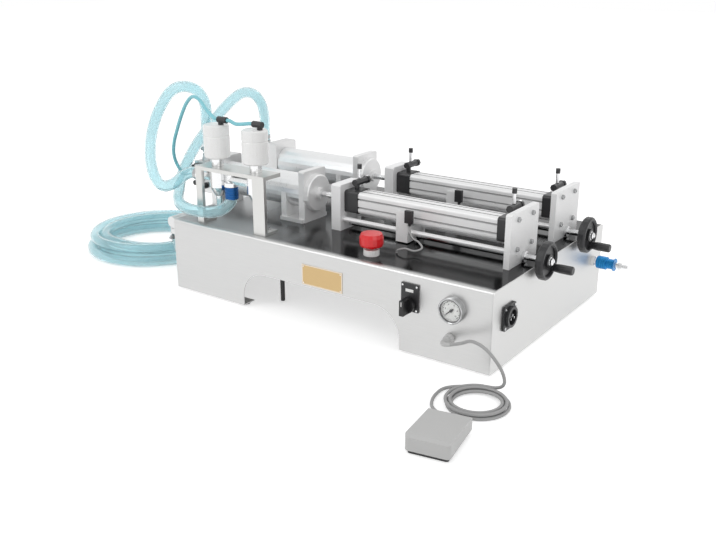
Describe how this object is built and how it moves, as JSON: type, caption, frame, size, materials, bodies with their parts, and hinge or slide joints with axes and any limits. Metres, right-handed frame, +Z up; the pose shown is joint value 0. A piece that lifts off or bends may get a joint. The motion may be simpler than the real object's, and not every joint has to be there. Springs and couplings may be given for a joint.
{
  "type": "liquid filling machine",
  "caption": "Bench-top piston filling machine with parallel air cylinders, hand-wheel volume setting, raised nozzles, clear hoses and a foot pedal.",
  "frame": {"origin": "bottom centre of the bounding box of the machine and its foot pedal, without the loose hoses and cables, on the bench", "axes": "+X to the right along the front towards the handwheels, +Y from the front panel to the rear, +Z up"},
  "size_m": [1.3366, 0.8258, 0.4517],
  "materials": {
    "cabinet_steel": "brushed sheet, satin",
    "fitting_steel": "machined stainless, satin",
    "tube_steel": "polished stainless tube",
    "polished": "polished",
    "plate_aluminium": "machined, satin",
    "barrel_aluminium": "anodised extrusion",
    "black_cap": "black, satin",
    "black_plastic": "black, satin",
    "white_enamel": "white, gloss",
    "red_plastic": "red, gloss",
    "blue_anodised": "blue anodised",
    "grey_plastic": "light grey, fine grain",
    "grey_cable": "grey sheath",
    "pale_hose": "clear pale blue hose",
    "teal_tube": "teal air tube"
  },
  "bodies": {
    "machine": {"actuator_1": "white_enamel", "actuator_2": "white_enamel", "air_feed": "teal_tube", "air_link": "teal_tube", "barrel_1": "barrel_aluminium", "barrel_2": "barrel_aluminium", "base_shell": "cabinet_steel", "cable_gland": "grey_plastic", "cap_left_1": "black_cap", "cap_left_2": "black_cap", "cap_right_1": "black_cap", "cap_right_2": "black_cap", "discharge_hose_1": "pale_hose", "discharge_hose_2": "pale_hose", "end_bracket_1": "fitting_steel", "end_bracket_2": "fitting_steel", "end_left": "cabinet_steel", "end_right": "cabinet_steel", "estop_collar": "plate_aluminium", "filling_tube_1": "tube_steel", "filling_tube_2": "tube_steel", "gauge_case": "polished", "inlet_nipple": "fitting_steel", "left_plate_1": "plate_aluminium", "left_plate_2": "plate_aluminium", "nozzle_1": "polished", "nozzle_2": "polished", "nozzle_stand": "cabinet_steel", "pedal_base": "grey_plastic", "pedal_cable": "grey_cable", "pedal_cable_coil": "grey_cable", "pedal_cable_end": "grey_cable", "right_plate_1": "plate_aluminium", "right_plate_2": "plate_aluminium", "selector_plate": "black_plastic", "sensor_lead": "grey_cable", "side_socket": "black_plastic", "suction_coil": "pale_hose", "suction_hose": "pale_hose", "suction_manifold": "fitting_steel", "valve_block_1": "fitting_steel", "valve_block_2": "fitting_steel"},
    "drive_1": {"drive_rod_1": "polished"},
    "screw_1": {"lead_screw_1": "polished", "handwheel_1": "black_plastic"},
    "grip_1": {"crank_grip_1": "black_plastic"},
    "carriage_1": {"sensor_carriage_1": "plate_aluminium"},
    "stem_1": {"nozzle_stem_1": "polished"},
    "drive_2": {"drive_rod_2": "polished"},
    "screw_2": {"lead_screw_2": "polished", "handwheel_2": "black_plastic"},
    "grip_2": {"crank_grip_2": "black_plastic"},
    "carriage_2": {"sensor_carriage_2": "plate_aluminium"},
    "stem_2": {"nozzle_stem_2": "polished"},
    "estop": {"estop_head": "red_plastic"},
    "selector": {"selector_knob": "black_plastic"},
    "needle": {"gauge_needle": "black_plastic"},
    "treadle": {"pedal_treadle": "grey_plastic"},
    "coupler_sleeve": {"inlet_sleeve": "blue_anodised"}
  },
  "joints": [
    {"name": "piston_stroke_1", "type": "slide", "parent": "machine", "child": "drive_1", "axis": [1, 0, 0], "range_m": [0, 0.18]},
    {"name": "screw_turn_1", "type": "hinge", "parent": "machine", "child": "screw_1", "pos_m": [0.29613, 0.07286, 0.177], "axis": [1, 0, 0], "range_deg": [-1080, 1080]},
    {"name": "grip_spin_1", "type": "hinge", "parent": "screw_1", "child": "grip_1", "pos_m": [0.43912, 0.09431, 0.159], "axis": [1, 0, 0], "continuous": true},
    {"name": "carriage_travel_1", "type": "slide", "parent": "machine", "child": "carriage_1", "axis": [1, 0, 0], "range_m": [-0.03, 0.03]},
    {"name": "stem_lift_1", "type": "slide", "parent": "machine", "child": "stem_1", "axis": [0, 0, 1], "range_m": [0, 0.008], "stiffness_N_per_m": 300, "springref_m": -0.004},
    {"name": "piston_stroke_2", "type": "slide", "parent": "machine", "child": "drive_2", "axis": [1, 0, 0], "range_m": [0, 0.18]},
    {"name": "screw_turn_2", "type": "hinge", "parent": "machine", "child": "screw_2", "pos_m": [0.29613, 0.2767, 0.177], "axis": [1, 0, 0], "range_deg": [-1080, 1080]},
    {"name": "grip_spin_2", "type": "hinge", "parent": "screw_2", "child": "grip_2", "pos_m": [0.43912, 0.28985, 0.15228], "axis": [1, 0, 0], "continuous": true},
    {"name": "carriage_travel_2", "type": "slide", "parent": "machine", "child": "carriage_2", "axis": [1, 0, 0], "range_m": [-0.03, 0.03]},
    {"name": "stem_lift_2", "type": "slide", "parent": "machine", "child": "stem_2", "axis": [0, 0, 1], "range_m": [0, 0.008], "stiffness_N_per_m": 300, "springref_m": -0.004},
    {"name": "estop_press", "type": "slide", "parent": "machine", "child": "estop", "axis": [0, 0, -1], "range_m": [0, 0.004], "stiffness_N_per_m": 1000, "springref_m": -0.004},
    {"name": "selector_turn", "type": "hinge", "parent": "machine", "child": "selector", "pos_m": [0.22412, -0.11706, 0.105], "axis": [0, -1, 0], "range_deg": [-45, 45]},
    {"name": "needle_swing", "type": "hinge", "parent": "machine", "child": "needle", "pos_m": [0.31612, -0.11606, 0.115], "axis": [0, 1, 0], "range_deg": [0, 260], "stiffness_Nm_per_rad": 0.001, "springref_deg": -17.19},
    {"name": "treadle_press", "type": "hinge", "parent": "machine", "child": "treadle", "pos_m": [0.42808, -0.31694, 0.013], "axis": [0.9848, 0.1736, 0], "range_deg": [0, 3.5], "stiffness_Nm_per_rad": 1.5, "springref_deg": -5.73},
    {"name": "sleeve_pull", "type": "slide", "parent": "machine", "child": "coupler_sleeve", "axis": [1, 0, 0], "range_m": [0, 0.006], "stiffness_N_per_m": 500, "springref_m": -0.003}
  ],
  "couplings": [
    {"joint": "carriage_travel_1", "follows": "screw_turn_1", "m_per_rad": 0.0015915},
    {"joint": "carriage_travel_2", "follows": "screw_turn_2", "m_per_rad": 0.0015915}
  ]
}
